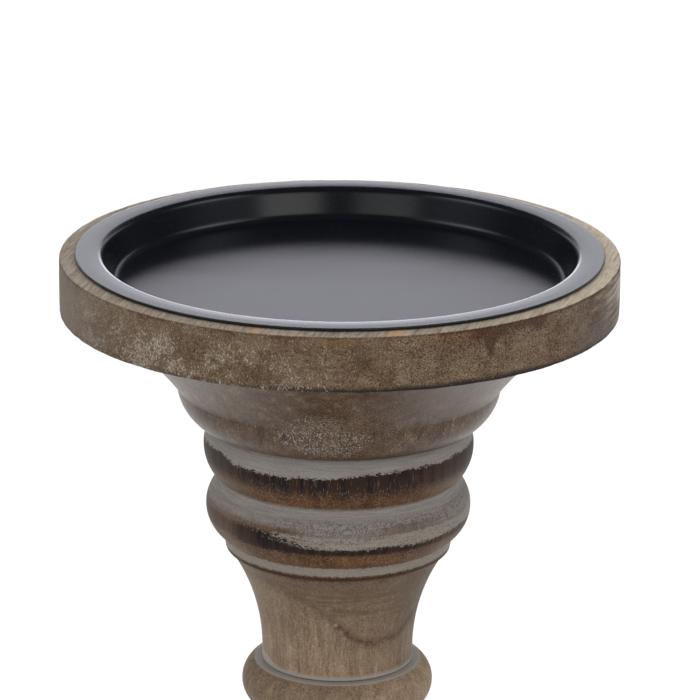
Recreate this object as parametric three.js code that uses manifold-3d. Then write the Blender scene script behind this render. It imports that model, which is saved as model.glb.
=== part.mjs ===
// A turned wooden holder for a pillar candle, with a loose black steel dish.
// Sizes are in millimetres, +Z is up, and the origin is the centre of the footprint on the table.
import * as THREE from "three";
import { mergeVertices } from "three/addons/utils/BufferGeometryUtils.js";
import Module from "manifold-3d";

const wasm = await Module();
wasm.setup();

// Roundness
const DISC_SIDES = 48; // of the wide turned pieces and the dish
const STEM_SIDES = 40;
const HARDWARE_SIDES = 24;
const SCREW_SIDES = 12;
const SHORT_CURVE_STEPS = 3;
const CURVE_STEPS = 5;
const LONG_CURVE_STEPS = 8;

// Fits
const GLUE_LINE = 0.1; // between two glued, bolted or resting faces
const TENON_CLEARANCE = 0.3; // round a tenon in its socket
const TENON_END_GAP = 0.5; // beyond the end of a tenon
const HARDWARE_CLEARANCE = 0.3; // round a screw, and round the rod in its nuts and washers
const BORE_CLEARANCE = 0.6; // round the rod in the wood

// Felt pads under the base
const FELT_COUNT = 4;
const FIRST_FELT_DEGREES = 45; // round the axis from +X, as for the screws
const FELT_RADIUS = 10;
const FELT_THICKNESS = 2;
const FELT_MARGIN = 4; // from a pad to the edge of the base plate's underside

// Top plate
const PLATE_RADIUS = 65;
const PLATE_THICKNESS = 13;
const PLATE_CHAMFER = 0.4;
const PLATE_OVERHANG = 9; // beyond the flare collar

// Base plate
const BASE_THICKNESS = 18;
const BASE_OVERHANG = 9; // beyond the base collar
const BASE_EDGE_ROUND = 5;
const BASE_CHAMFER = 1;

// Flare of both collars, from its lip out to the plate
const FLARE_HEIGHT = 26.4;
const FLARE_HOLLOW = 0.9; // depth of the hollow curve
const FLARE_LIP_HEIGHT = 8.4;
const FLARE_LIP_RADIUS = 37.9; // where the lip meets the hollow curve
const FLARE_LIP_BULGE = 1.1;
const FLARE_END_RADIUS = 33.1;

// Pair of beads and the step behind them, on both stems
const FIRST_BEAD_HEIGHT = 14.4;
const FIRST_BEAD_BULGE = 2.85;
const BEAD_SHOULDER_RADIUS = 29.7; // where the first bead meets its collar
const VALLEY_RADIUS = 27.8; // between the beads
const SECOND_BEAD_HEIGHT = 13.8;
const SECOND_BEAD_BULGE = 3.7;
const STEP_RADIUS = 27; // where the second bead meets the step
const STEP_TAPER = 0.6;
const STEP_HEIGHT = 3.4;
const STEP_UNDERCUT = 0.7;

// Upper stem
const NECK_HEIGHT = 28.1;
const NECK_RADIUS = 17.9;
const NECK_HOLLOW = 2.4;

// Lower stem, from its beads up
const COVE_HEIGHT = 7;
const COVE_HOLLOW = 2.2;
const VASE_FOOT_RADIUS = 19;
const BELLY_RISE = 22; // from the cove to the widest point of the vase
const BELLY_RADIUS = 28.5;
const BELLY_BULGE = 3;
const VASE_TAPER_HEIGHT = 74.2; // from the widest point to the thinnest
const VASE_NECK_RADIUS = 15.8;
const NECK_COVE_HEIGHT = 5;
const NECK_COVE_HOLLOW = 0.6;
const FILLET_RADIUS = 19;
const FILLET_HEIGHT = 2.4;
const RING_SHOULDER_RADIUS = 19.3;
const RING_HEIGHT = 11;
const RING_BULGE = 3.3;

// Steel dish
const SHEET = 0.6;
const WOOD_LEDGE = 3.7; // bare wood outside the rim
const RIM_WIDTH = 5.1; // of its flat part
const RIM_BEND = 1.6; // radius of the bend where the rim turns down
const WALL_SETBACK = 5.1; // from the flat part of the rim in to the flat part of the floor
const DISH_FLOOR_DROP = 6.7; // from the top of the wood down to the floor of the dish
const FLOOR_BEND = 2; // radius of the bend where the wall meets the floor
const RECESS_CLEARANCE = 0.8; // round the dish in its recess

// Threaded rod, its nuts and its washers
const ROD_RADIUS = 2.9;
const ROD_CHAMFER = 0.6;
const ROD_PAST_NUT = 1.4;
const NUT_ACROSS_FLATS = 10;
const NUT_THICKNESS = 5;
const WASHER_RADIUS = 9;
const WASHER_THICKNESS = 1.6;
const POCKET_CLEARANCE = 1.5; // round a washer in the pocket that hides it
const POCKET_MARGIN = 1; // from the end of the rod to the mouth of its pocket

// Turned tenons
const STEM_TENON_RADIUS = 15;
const STEM_TENON_LENGTH = 9;
const NECK_TENON_RADIUS = 10;
const NECK_TENON_LENGTH = 14;
const COLLAR_TENON_WALL = 7; // round the pocket in the flare collar's tenon
const BASE_TENON_LENGTH = 4;

// Wood screws that hold the top plate to the flare collar
const SCREW_COUNT = 3;
const FIRST_SCREW_DEGREES = 90;
const SCREW_FROM_TENON = 12; // from the flare collar's tenon out to the screws
const SCREW_RADIUS = 2;
const SCREW_LENGTH = 18;
const SCREW_TIP_LENGTH = 3;
const SCREW_HEAD_RADIUS = 4;
const SCREW_HEAD_HEIGHT = 2.2;
const SCREW_SUNK = 0.2; // of the head, below the floor of the recess
const CROSS_SLOT_LENGTH = 4.4;
const CROSS_SLOT_WIDTH = 1;
const CROSS_SLOT_DEPTH = 1.4;
const DRILL_OVERRUN = 1; // of a drilled hole, beyond the face that it opens in

// Heights of the joints, going up from the table
const lowerStemHeight =
  FIRST_BEAD_HEIGHT + SECOND_BEAD_HEIGHT + STEP_HEIGHT + COVE_HEIGHT + BELLY_RISE +
  VASE_TAPER_HEIGHT + NECK_COVE_HEIGHT + FILLET_HEIGHT + RING_HEIGHT;
const upperStemHeight = NECK_HEIGHT + STEP_HEIGHT + SECOND_BEAD_HEIGHT + FIRST_BEAD_HEIGHT;
const baseBottom = FELT_THICKNESS + GLUE_LINE;
const baseTop = baseBottom + BASE_THICKNESS;
const baseCollarBottom = baseTop + GLUE_LINE;
const baseCollarTop = baseCollarBottom + FLARE_HEIGHT;
const lowerStemBottom = baseCollarTop + GLUE_LINE;
const lowerStemTop = lowerStemBottom + lowerStemHeight;
const upperStemBottom = lowerStemTop + GLUE_LINE;
const upperStemTop = upperStemBottom + upperStemHeight;
const flareBottom = upperStemTop + GLUE_LINE;
const flareTop = flareBottom + FLARE_HEIGHT;
const plateBottom = flareTop + GLUE_LINE;
const plateTop = plateBottom + PLATE_THICKNESS;

// Radii that follow the plate
const flareRadius = PLATE_RADIUS - PLATE_OVERHANG;
const baseRadius = flareRadius + BASE_OVERHANG;
const rimRadius = PLATE_RADIUS - WOOD_LEDGE;
const rimInnerRadius = rimRadius - RIM_WIDTH;
const floorRadius = rimInnerRadius - WALL_SETBACK;
const recessRadius = rimInnerRadius + RECESS_CLEARANCE;

// Dish and recess
const rimTop = plateTop + GLUE_LINE + SHEET;
const dishFloor = plateTop - DISH_FLOOR_DROP;
const dishUnderside = dishFloor - SHEET;
const recessFloor = dishUnderside - GLUE_LINE;

// The rod and what is on it: the upper pocket opens under the dish, the lower one under the base
const boreRadius = ROD_RADIUS + BORE_CLEARANCE;
const pocketRadius = WASHER_RADIUS + POCKET_CLEARANCE;
const collarTenonRadius = pocketRadius + COLLAR_TENON_WALL;
const collarTenonTop = recessFloor - GLUE_LINE;
const rodTop = collarTenonTop - POCKET_MARGIN;
const topNutBottom = rodTop - ROD_PAST_NUT - NUT_THICKNESS;
const topWasherBottom = topNutBottom - GLUE_LINE - WASHER_THICKNESS;
const topPocketFloor = topWasherBottom - GLUE_LINE;
const rodBottom = baseBottom + POCKET_MARGIN;
const bottomNutBottom = rodBottom + ROD_PAST_NUT;
const bottomWasherBottom = bottomNutBottom + NUT_THICKNESS + GLUE_LINE;
const bottomPocketCeiling = bottomWasherBottom + WASHER_THICKNESS + GLUE_LINE;

// Sockets and screws
const stemSocketRadius = STEM_TENON_RADIUS + TENON_CLEARANCE;
const stemSocketDepth = STEM_TENON_LENGTH - GLUE_LINE + TENON_END_GAP;
const neckSocketRadius = NECK_TENON_RADIUS + TENON_CLEARANCE;
const neckSocketDepth = NECK_TENON_LENGTH - GLUE_LINE + TENON_END_GAP;
const collarSocketRadius = collarTenonRadius + TENON_CLEARANCE;
const baseSocketDepth = BASE_TENON_LENGTH - GLUE_LINE + TENON_END_GAP;
const screwCircleRadius = collarTenonRadius + SCREW_FROM_TENON;
const screwTop = recessFloor - SCREW_SUNK;

const palerWood = new THREE.MeshStandardMaterial({ color: 0x665341, roughness: 0.7, metalness: 0 });
const darkerWood = new THREE.MeshStandardMaterial({ color: 0x5b4636, roughness: 0.75, metalness: 0 });
const blackSteel = new THREE.MeshStandardMaterial({ color: 0x16181b, roughness: 0.4, metalness: 0.3 });
const zincSteel = new THREE.MeshStandardMaterial({ color: 0xa9abad, roughness: 0.35, metalness: 1 });
const greyFelt = new THREE.MeshStandardMaterial({ color: 0x4a4744, roughness: 1, metalness: 0 });

// Profiles are lists of [radius, height] points. Outsides go up, and bores go down.
function line(...points) {
  return points.map(([radius, height]) => new THREE.Vector2(radius, height));
}

// A circular arc whose middle stands `bulge` out from the straight line between its ends.
function bow(from, to, bulge, steps = CURVE_STEPS) {
  const start = new THREE.Vector2(...from);
  const end = new THREE.Vector2(...to);
  const along = end.clone().sub(start);
  const chord = along.length();
  along.normalize();
  const outwards = new THREE.Vector2(along.y, -along.x);
  const middle = start.clone().add(end).multiplyScalar(0.5);
  const halfAngle = 2 * Math.atan((2 * bulge) / chord);
  const radius = chord / 2 / Math.sin(halfAngle);
  return Array.from({ length: steps + 1 }, (_, i) => {
    const angle = halfAngle * ((2 * i) / steps - 1);
    return middle
      .clone()
      .addScaledVector(along, radius * Math.sin(angle))
      .addScaledVector(outwards, bulge - radius * (1 - Math.cos(angle)));
  });
}

// An S-curve that is upright at both ends.
function ogee(from, to, steps = LONG_CURVE_STEPS) {
  return Array.from({ length: steps + 1 }, (_, i) => {
    const share = i / steps;
    const across = (1 - Math.cos(Math.PI * share)) / 2;
    return new THREE.Vector2(
      THREE.MathUtils.lerp(from[0], to[0], across),
      THREE.MathUtils.lerp(from[1], to[1], share),
    );
  });
}

// An arc by centre, radius and angles in degrees.
function arc(centre, radius, fromDegrees, toDegrees, steps = SHORT_CURVE_STEPS) {
  return Array.from({ length: steps + 1 }, (_, i) => {
    const angle = THREE.MathUtils.degToRad(THREE.MathUtils.lerp(fromDegrees, toDegrees, i / steps));
    return new THREE.Vector2(centre[0] + radius * Math.cos(angle), centre[1] + radius * Math.sin(angle));
  });
}

function raised(profile, height) {
  return profile.map((p) => new THREE.Vector2(p.x, p.y + height));
}

// The profile upside down, still going up, with its height 0 at the given height.
function upended(profile, height) {
  return profile.map((p) => new THREE.Vector2(p.x, height - p.y)).reverse();
}

// Turns a profile round the stem's axis. One that doesn't end on the axis is closed on itself.
function turned(profile, sides) {
  const points = profile.filter((p, i) => i === 0 || p.distanceTo(profile[i - 1]) > 1e-6);
  if (points[0].x > 0) {
    points.push(points[0].clone());
  }
  const geometry = new THREE.LatheGeometry(points, sides);
  geometry.rotateX(Math.PI / 2);
  return geometry;
}

function solidOf(geometry) {
  const bare = geometry.clone();
  bare.deleteAttribute("normal");
  bare.deleteAttribute("uv");
  const merged = mergeVertices(bare, 1e-4);
  return new wasm.Manifold(
    new wasm.Mesh({
      numProp: 3,
      vertProperties: merged.attributes.position.array,
      triVerts: new Uint32Array(merged.index.array),
    }),
  );
}

function cut(blank, tools) {
  const solid = tools.reduce((rest, tool) => rest.subtract(solidOf(tool)), solidOf(blank));
  const mesh = solid.getMesh();
  const geometry = new THREE.BufferGeometry();
  geometry.setAttribute("position", new THREE.BufferAttribute(mesh.vertProperties, 3));
  geometry.setIndex(new THREE.BufferAttribute(mesh.triVerts, 1));
  geometry.computeVertexNormals();
  return geometry;
}

// Evenly spaced places on a circle round the stem's axis.
function placesOnCircle(count, radius, firstDegrees) {
  return Array.from({ length: count }, (_, i) => {
    const angle = THREE.MathUtils.degToRad(firstDegrees + (360 * i) / count);
    return new THREE.Vector2(radius * Math.cos(angle), radius * Math.sin(angle));
  });
}

const screwPlaces = placesOnCircle(SCREW_COUNT, screwCircleRadius, FIRST_SCREW_DEGREES);
const feltPlaces = placesOnCircle(
  FELT_COUNT,
  baseRadius - BASE_CHAMFER - FELT_MARGIN - FELT_RADIUS,
  FIRST_FELT_DEGREES,
);

// The outside of a flare, going up from its narrow end at height 0.
function flareProfile() {
  const lip = [FLARE_LIP_RADIUS, FLARE_LIP_HEIGHT];
  return [
    ...bow([FLARE_END_RADIUS, 0], lip, FLARE_LIP_BULGE, SHORT_CURVE_STEPS),
    ...bow(lip, [flareRadius, FLARE_HEIGHT], -FLARE_HOLLOW),
  ];
}

// The outside of a step and its two beads, going up to the collar at height 0.
function beadProfile() {
  const valley = [VALLEY_RADIUS, -FIRST_BEAD_HEIGHT];
  const step = [STEP_RADIUS, -FIRST_BEAD_HEIGHT - SECOND_BEAD_HEIGHT];
  return [
    ...line([STEP_RADIUS - STEP_TAPER, step[1] - STEP_HEIGHT]),
    ...bow(step, valley, SECOND_BEAD_BULGE),
    ...bow(valley, [BEAD_SHOULDER_RADIUS, 0], FIRST_BEAD_BULGE),
  ];
}

// Where the narrower wood beyond the step starts.
const undercutRadius = STEP_RADIUS - STEP_TAPER - STEP_UNDERCUT;

// A constant thickness of sheet: the wall is the line that touches both bends on their far sides.
function candleDish() {
  const rimCentre = [rimInnerRadius, rimTop - RIM_BEND];
  const floorCentre = [floorRadius, dishFloor + FLOOR_BEND];
  const across = rimCentre[0] - floorCentre[0];
  const up = rimCentre[1] - floorCentre[1];
  const crossing = Math.asin((RIM_BEND + FLOOR_BEND) / Math.hypot(across, up));
  const wallDegrees = THREE.MathUtils.radToDeg(Math.atan2(up, across) + crossing);
  const floorBend = (radius) => arc(floorCentre, radius, -90, wallDegrees - 90);
  const rimBend = (radius) => arc(rimCentre, radius, wallDegrees + 90, 90);
  const underside = [
    ...line([0, dishUnderside]),
    ...floorBend(FLOOR_BEND + SHEET),
    ...rimBend(RIM_BEND - SHEET),
    ...line([rimRadius, rimTop - SHEET]),
  ];
  const inside = [
    ...line([0, dishFloor]),
    ...floorBend(FLOOR_BEND),
    ...rimBend(RIM_BEND),
    ...line([rimRadius, rimTop]),
  ];
  return turned([...underside, ...inside.reverse()], DISC_SIDES);
}

// A drilled and countersunk hole for a plate screw, as the shape that is cut away.
function countersunkHole() {
  const shank = SCREW_RADIUS + HARDWARE_CLEARANCE;
  const head = SCREW_HEAD_RADIUS + HARDWARE_CLEARANCE;
  const bottom = plateBottom - DRILL_OVERRUN;
  const top = recessFloor + DRILL_OVERRUN;
  return turned(
    line(
      [0, bottom],
      [shank, bottom],
      [shank, screwTop - SCREW_HEAD_HEIGHT],
      [head, screwTop],
      [head, top],
      [0, top],
    ),
    SCREW_SIDES,
  );
}

// The hole that the same screw bites in, as the shape that is cut away.
function pilotHole() {
  const shank = SCREW_RADIUS + HARDWARE_CLEARANCE;
  const bottom = screwTop - SCREW_LENGTH - TENON_END_GAP;
  const top = flareTop + DRILL_OVERRUN;
  return turned(line([0, bottom], [shank, bottom], [shank, top], [0, top]), SCREW_SIDES);
}

function topPlate() {
  const blank = turned(
    line(
      [collarSocketRadius, plateBottom],
      [PLATE_RADIUS - PLATE_CHAMFER, plateBottom],
      [PLATE_RADIUS, plateBottom + PLATE_CHAMFER],
      [PLATE_RADIUS, plateTop - PLATE_CHAMFER],
      [PLATE_RADIUS - PLATE_CHAMFER, plateTop],
      [recessRadius, plateTop],
      [recessRadius, recessFloor],
      [collarSocketRadius, recessFloor],
    ),
    DISC_SIDES,
  );
  return cut(blank, screwPlaces.map((p) => countersunkHole().translate(p.x, p.y, 0)));
}

function flareCollar() {
  const socketTop = flareBottom + stemSocketDepth;
  const profile = [
    ...line([stemSocketRadius, flareBottom]),
    ...raised(flareProfile(), flareBottom),
    ...line(
      [collarTenonRadius, flareTop],
      [collarTenonRadius, collarTenonTop],
      [pocketRadius, collarTenonTop],
      [pocketRadius, topPocketFloor],
      [boreRadius, topPocketFloor],
      [boreRadius, socketTop],
      [stemSocketRadius, socketTop],
    ),
  ];
  return cut(turned(profile, DISC_SIDES), screwPlaces.map((p) => pilotHole().translate(p.x, p.y, 0)));
}

function plateScrew() {
  const tip = screwTop - SCREW_LENGTH;
  const blank = turned(
    line(
      [0, tip],
      [SCREW_RADIUS, tip + SCREW_TIP_LENGTH],
      [SCREW_RADIUS, screwTop - SCREW_HEAD_HEIGHT],
      [SCREW_HEAD_RADIUS, screwTop],
      [0, screwTop],
    ),
    SCREW_SIDES,
  );
  const slot = (length, width) => {
    return new THREE.BoxGeometry(length, width, 2 * CROSS_SLOT_DEPTH).translate(0, 0, screwTop);
  };
  return cut(blank, [slot(CROSS_SLOT_LENGTH, CROSS_SLOT_WIDTH), slot(CROSS_SLOT_WIDTH, CROSS_SLOT_LENGTH)]);
}

function upperStem() {
  const neckTop = upperStemBottom + NECK_HEIGHT;
  const tenonTop = upperStemTop + STEM_TENON_LENGTH;
  const socketTop = upperStemBottom + neckSocketDepth;
  const profile = [
    ...line([neckSocketRadius, upperStemBottom]),
    ...bow([NECK_RADIUS, upperStemBottom], [undercutRadius, neckTop], -NECK_HOLLOW, LONG_CURVE_STEPS),
    ...raised(beadProfile(), upperStemTop),
    ...line(
      [STEM_TENON_RADIUS, upperStemTop],
      [STEM_TENON_RADIUS, tenonTop],
      [boreRadius, tenonTop],
      [boreRadius, socketTop],
      [neckSocketRadius, socketTop],
    ),
  ];
  return turned(profile, STEM_SIDES);
}

function lowerStem() {
  const coveBottom = lowerStemBottom + FIRST_BEAD_HEIGHT + SECOND_BEAD_HEIGHT + STEP_HEIGHT;
  const foot = [VASE_FOOT_RADIUS, coveBottom + COVE_HEIGHT];
  const belly = [BELLY_RADIUS, foot[1] + BELLY_RISE];
  const neck = [VASE_NECK_RADIUS, belly[1] + VASE_TAPER_HEIGHT];
  const filletBottom = neck[1] + NECK_COVE_HEIGHT;
  const ringBottom = filletBottom + FILLET_HEIGHT;
  const tenonBottom = lowerStemBottom - STEM_TENON_LENGTH;
  const tenonTop = lowerStemTop + NECK_TENON_LENGTH;
  const profile = [
    ...line(
      [boreRadius, tenonBottom],
      [STEM_TENON_RADIUS, tenonBottom],
      [STEM_TENON_RADIUS, lowerStemBottom],
    ),
    ...upended(beadProfile(), lowerStemBottom),
    ...bow([undercutRadius, coveBottom], foot, -COVE_HOLLOW, SHORT_CURVE_STEPS),
    ...bow(foot, belly, BELLY_BULGE),
    ...ogee(belly, neck),
    ...bow(neck, [FILLET_RADIUS, filletBottom], -NECK_COVE_HOLLOW, SHORT_CURVE_STEPS),
    ...line([FILLET_RADIUS, ringBottom]),
    ...bow([RING_SHOULDER_RADIUS, ringBottom], [RING_SHOULDER_RADIUS, lowerStemTop], RING_BULGE),
    ...line(
      [NECK_TENON_RADIUS, lowerStemTop],
      [NECK_TENON_RADIUS, tenonTop],
      [boreRadius, tenonTop],
    ),
  ];
  return turned(profile, STEM_SIDES);
}

function baseCollar() {
  const tenonBottom = baseCollarBottom - BASE_TENON_LENGTH;
  const socketFloor = baseCollarTop - stemSocketDepth;
  const profile = [
    ...line(
      [boreRadius, tenonBottom],
      [collarTenonRadius, tenonBottom],
      [collarTenonRadius, baseCollarBottom],
    ),
    ...upended(flareProfile(), baseCollarTop),
    ...line(
      [stemSocketRadius, baseCollarTop],
      [stemSocketRadius, socketFloor],
      [boreRadius, socketFloor],
    ),
  ];
  return turned(profile, DISC_SIDES);
}

function basePlate() {
  const socketFloor = baseTop - baseSocketDepth;
  const roundCentre = [baseRadius - BASE_EDGE_ROUND, baseTop - BASE_EDGE_ROUND];
  const profile = [
    ...line(
      [pocketRadius, baseBottom],
      [baseRadius - BASE_CHAMFER, baseBottom],
      [baseRadius, baseBottom + BASE_CHAMFER],
    ),
    ...arc(roundCentre, BASE_EDGE_ROUND, 0, 90),
    ...line(
      [collarSocketRadius, baseTop],
      [collarSocketRadius, socketFloor],
      [boreRadius, socketFloor],
      [boreRadius, bottomPocketCeiling],
      [pocketRadius, bottomPocketCeiling],
    ),
  ];
  return turned(profile, DISC_SIDES);
}

function tieRod() {
  return turned(
    line(
      [0, rodBottom],
      [ROD_RADIUS - ROD_CHAMFER, rodBottom],
      [ROD_RADIUS, rodBottom + ROD_CHAMFER],
      [ROD_RADIUS, rodTop - ROD_CHAMFER],
      [ROD_RADIUS - ROD_CHAMFER, rodTop],
      [0, rodTop],
    ),
    HARDWARE_SIDES,
  );
}

function hexNut() {
  const corner = NUT_ACROSS_FLATS / 2 / Math.cos(Math.PI / 6);
  const hexagon = new THREE.Shape(placesOnCircle(6, corner, 0));
  const hole = new THREE.Path();
  hole.absarc(0, 0, ROD_RADIUS + HARDWARE_CLEARANCE, 0, 2 * Math.PI, true);
  hexagon.holes.push(hole);
  return new THREE.ExtrudeGeometry(hexagon, {
    depth: NUT_THICKNESS,
    bevelEnabled: false,
    curveSegments: HARDWARE_SIDES,
  });
}

function washer() {
  const hole = ROD_RADIUS + HARDWARE_CLEARANCE;
  return turned(
    line([hole, 0], [WASHER_RADIUS, 0], [WASHER_RADIUS, WASHER_THICKNESS], [hole, WASHER_THICKNESS]),
    HARDWARE_SIDES,
  );
}

function feltPad() {
  const geometry = new THREE.CylinderGeometry(FELT_RADIUS, FELT_RADIUS, FELT_THICKNESS, HARDWARE_SIDES);
  geometry.rotateX(Math.PI / 2);
  geometry.translate(0, 0, FELT_THICKNESS / 2);
  return geometry;
}

const holder = new THREE.Group();

function place(name, geometry, material, x = 0, y = 0, z = 0) {
  const mesh = new THREE.Mesh(geometry, material);
  mesh.name = name;
  mesh.position.set(x, y, z);
  holder.add(mesh);
}

place("candle_dish", candleDish(), blackSteel);
place("top_plate", topPlate(), palerWood);
place("flare_collar", flareCollar(), palerWood);
place("upper_stem", upperStem(), darkerWood);
place("lower_stem", lowerStem(), darkerWood);
place("base_collar", baseCollar(), palerWood);
place("base_plate", basePlate(), palerWood);
place("tie_rod", tieRod(), zincSteel);
place("top_nut", hexNut(), zincSteel, 0, 0, topNutBottom);
place("top_washer", washer(), zincSteel, 0, 0, topWasherBottom);
place("bottom_nut", hexNut(), zincSteel, 0, 0, bottomNutBottom);
place("bottom_washer", washer(), zincSteel, 0, 0, bottomWasherBottom);
screwPlaces.forEach((p, i) => place(`plate_screw_${i + 1}`, plateScrew(), zincSteel, p.x, p.y));
feltPlaces.forEach((p, i) => place(`felt_pad_${i + 1}`, feltPad(), greyFelt, p.x, p.y));

export default holder;
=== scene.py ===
# A turned wooden holder for a pillar candle, with a loose black steel dish.
import math

import bpy
from mathutils import Matrix, Vector


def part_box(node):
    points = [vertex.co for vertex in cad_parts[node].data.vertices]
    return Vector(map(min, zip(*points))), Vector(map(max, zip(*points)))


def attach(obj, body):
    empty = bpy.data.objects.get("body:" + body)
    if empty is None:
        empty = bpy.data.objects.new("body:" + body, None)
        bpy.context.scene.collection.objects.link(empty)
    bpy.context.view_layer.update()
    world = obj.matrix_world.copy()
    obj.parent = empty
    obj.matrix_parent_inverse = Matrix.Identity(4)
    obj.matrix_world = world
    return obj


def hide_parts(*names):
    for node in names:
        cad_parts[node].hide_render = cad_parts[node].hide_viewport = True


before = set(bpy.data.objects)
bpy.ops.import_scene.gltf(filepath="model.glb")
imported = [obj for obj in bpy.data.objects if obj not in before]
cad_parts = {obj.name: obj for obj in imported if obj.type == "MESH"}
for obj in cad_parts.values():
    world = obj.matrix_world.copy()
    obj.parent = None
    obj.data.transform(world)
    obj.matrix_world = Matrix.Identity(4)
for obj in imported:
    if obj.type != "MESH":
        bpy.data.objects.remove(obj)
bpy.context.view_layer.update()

MM = 0.001

# Roundness and smoothness of the turned work
DISC_STEPS = 720
STEM_STEPS = 360
SMALL_STEPS = 48
THREAD_STEPS = 20
CURVE_STEPS = 24
CORNER_STEPS = 5
CREASE = math.radians(40)  # edges sharper than this stay crisp
MERGE_DISTANCE = 0.002

# Fits, as the CAD has them
GLUE_LINE = 0.1
TENON_CLEARANCE = 0.3
TENON_END_GAP = 0.5
BORE_RADIUS = 3.5
POCKET_RADIUS = 10.5
COLLAR_TENON_RADIUS = 17.5
STEM_TENON_RADIUS = 15.0
NECK_TENON_RADIUS = 10.0

# Top plate and base plate
PLATE_RADIUS = 65.0
PLATE_EDGE = 0.6
PLATE_LOWER_EDGE = 0.4
PLATE_WEAR = (3.5, 0.2)  # grain size and depth
RECESS_RADIUS = 57.0
RECESS_DEPTH = 7.4
RECESS_EDGE = 0.4
RECESS_CORNER = 1.2
BASE_SHOULDER = 5.0
BASE_FOOT_EDGE = 1.0

# Flare of both collars, from its narrow end out to the plate
FLARE_END_RADIUS = 33.1
FLARE_LIP_HEIGHT = 8.4
FLARE_LIP_RADIUS = 37.9
FLARE_LIP_BULGE = 1.1
FLARE_RADIUS = 56.0
FLARE_HOLLOW = 0.9
TURNED_EDGE = 0.5

# Pair of beads and the step behind them
BEAD_SHOULDER_RADIUS = 29.7
FIRST_BEAD_HEIGHT = 14.4
FIRST_BEAD_BULGE = 2.85
VALLEY_RADIUS = 27.8
SECOND_BEAD_HEIGHT = 13.8
SECOND_BEAD_BULGE = 3.7
STEP_RADIUS = 27.0
STEP_TAPER = 0.6
STEP_HEIGHT = 3.4
STEP_UNDERCUT = 0.7
UNDERCUT_RADIUS = STEP_RADIUS - STEP_TAPER - STEP_UNDERCUT
BEADS_HEIGHT = FIRST_BEAD_HEIGHT + SECOND_BEAD_HEIGHT + STEP_HEIGHT

# Neck of the upper stem
NECK_RADIUS = 17.9
NECK_HOLLOW = 2.4

# Vase, cove, fillet and ring of the lower stem
COVE_HEIGHT = 7.0
COVE_HOLLOW = 2.2
VASE_FOOT_RADIUS = 19.0
BELLY_RISE = 22.0
BELLY_RADIUS = 28.5
BELLY_BULGE = 3.0
VASE_TAPER_HEIGHT = 74.2
VASE_NECK_RADIUS = 15.8
NECK_COVE_HEIGHT = 5.0
NECK_COVE_HOLLOW = 0.6
FILLET_RADIUS = 19.0
FILLET_HEIGHT = 2.4
RING_SHOULDER_RADIUS = 19.3
RING_BULGE = 3.3

# Steel dish
SHEET = 0.6
RIM_RADIUS = 61.3
RIM_INNER_RADIUS = 56.2
RIM_BEND = 1.6
FLOOR_RADIUS = 51.1
FLOOR_BEND = 2
RIM_EDGE = 0.2
RIM_DROOP = 0.04  # of its top at the inner edge
RIM_LEVEL_RADIUS = 59  # where it is level

# Hardware
ROD_RADIUS = 2.9
THREAD_PITCH = 1.0
THREAD_DEPTH = 0.45
THREAD_SUNK = 0.1  # of a tooth, in the core that it is wound on
ROD_CHAMFER = 0.6
NUT_ACROSS_FLATS = 10.0
NUT_CORNER_DROP = 0.75  # of the turned-off corners, below the face
NUT_BEVEL = 0.12
NUT_BEVEL_ANGLE = math.radians(35)  # of the flattest edge that is bevelled
NUT_THREAD_CHAMFER = 0.4
WASHER_RADIUS = 9.0
WASHER_EDGE = 0.35
SCREW_CIRCLE_RADIUS = 29.5
SCREW_DEGREES = (90, 210, 330)
SCREW_RADIUS = 2.0
SCREW_SHANK_RADIUS = 1.8
SCREW_SHANK_LENGTH = 3.6
SCREW_SHANK_TAPER = 0.4
SCREW_TIP = 3.0
SCREW_HEAD_RADIUS = 4.0
SCREW_SLOT = (4.4, 1.0, 1.4)  # length, width and depth
SCREW_HEAD_HEIGHT = 2.2
SCREW_SUNK = 0.2
DRILL_OVERRUN = 1
SCREW_THREAD_PITCH = 1.5
FELT_COUNT = 4
FELT_RADIUS = 10.0
FELT_EDGE = 0.6
FELT_WEAR = (1.2, 0.12)  # grain size and depth

# Camera, fitted to the ellipses of the dish and the plate in the 700-pixel photograph
CAMERA_PLACE = (0.0025, -1.040, 0.6028)
CAMERA_DIP = math.radians(17.45)
CAMERA_ROLL = math.radians(0.42)
FOCAL_LENGTH_PIXELS = 4678
PHOTO_PIXELS = 700
SENSOR_WIDTH = 36.0

# Studio
SOFT_LIGHT = 1.2  # all round, for all but what a surface mirrors
ROOM_LIGHT = 0.06  # what a surface mirrors besides the wall and the two side lights
WALL_LIGHT = 9.2
WALL_BOTTOM = (-0.02, 0.12)  # how far upwards a direction goes where the light wall starts and is full
WALL_TOP = (-0.1, 0.38)  # the same where it starts to fade and is gone
WALL_BACK = (0.5, 0.85)  # how far towards the back where it starts and is full
WALL_NARROW = (0.07, 0.2)  # how far to either side where its low part starts to fade and is gone
WALL_LOW_PART = (0.16, 0.28)  # how far upwards its low part starts to end and ends
SIDE_LIGHT = 4.5
SIDE_FROM = (0.5, 1.0)  # how far to either side where the pair of large lights starts and is full
SIDE_BOTTOM = (0.25, 0.7)  # the same upwards
SIDE_BACK = (-0.2, 0.2)  # how far towards the back where they fade and are gone
MIRRORED_COLOUR = (0.91, 0.91, 1.0)
SOFTBOXES = ((26, 2.0), (-24, 1.2))  # degrees to the right of the camera, and power
SOFTBOX_ELEVATION = 17
SOFTBOX_DISTANCE = 1.5
SOFTBOX_WIDTH = 0.8
SOFTBOX_HEIGHT = 0.5
STUDIO_LEVEL = 1.15  # how brightly a white upright surface at the front looks
STUDIO_SHEEN = 0.01  # what a finish's sheen adds to that
FLOOR_RADIUS_METRES = 8
FLOOR_WHITE = (0.88, 0.88, 0.88, 1)

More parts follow.
